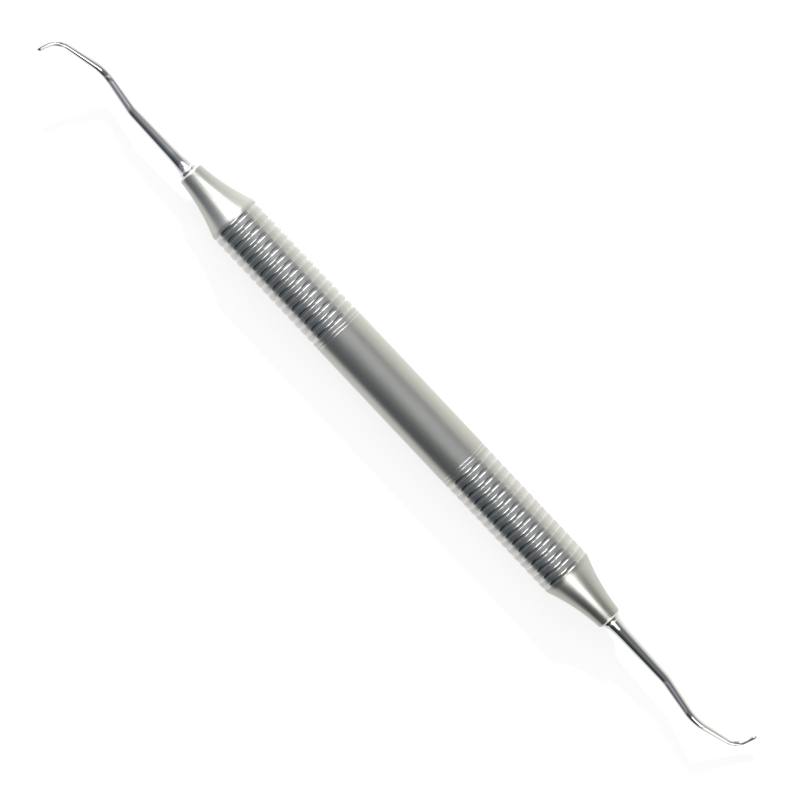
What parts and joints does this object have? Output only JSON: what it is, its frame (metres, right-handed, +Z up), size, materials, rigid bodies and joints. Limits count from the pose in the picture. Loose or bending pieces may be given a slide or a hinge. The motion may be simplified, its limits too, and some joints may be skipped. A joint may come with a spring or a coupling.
{
  "type": "dental hand scaler",
  "caption": "Double-ended universal curette: hollow ringed steel handle with tapered noses and slim bent shanks, each ending in a small hooked blade.",
  "frame": {"origin": "centre of the instrument's bounding box in X and Y, under the middle of the handle, on the plane it lies on", "axes": "+X along the handle's axis, towards the end whose hook turns to +Y; +Z up from the surface the handle lies on"},
  "size_m": [0.1778, 0.01, 0.01],
  "materials": {
    "satin_steel": "satin stainless steel, finely blasted, with bright turned grooves",
    "polished_steel": "mirror-polished hardened stainless steel"
  },
  "bodies": {
    "root": {"handle_tube": "satin_steel", "cone_left": "satin_steel", "cone_right": "satin_steel", "curette_left": "polished_steel", "curette_right": "polished_steel"}
  },
  "joints": []
}
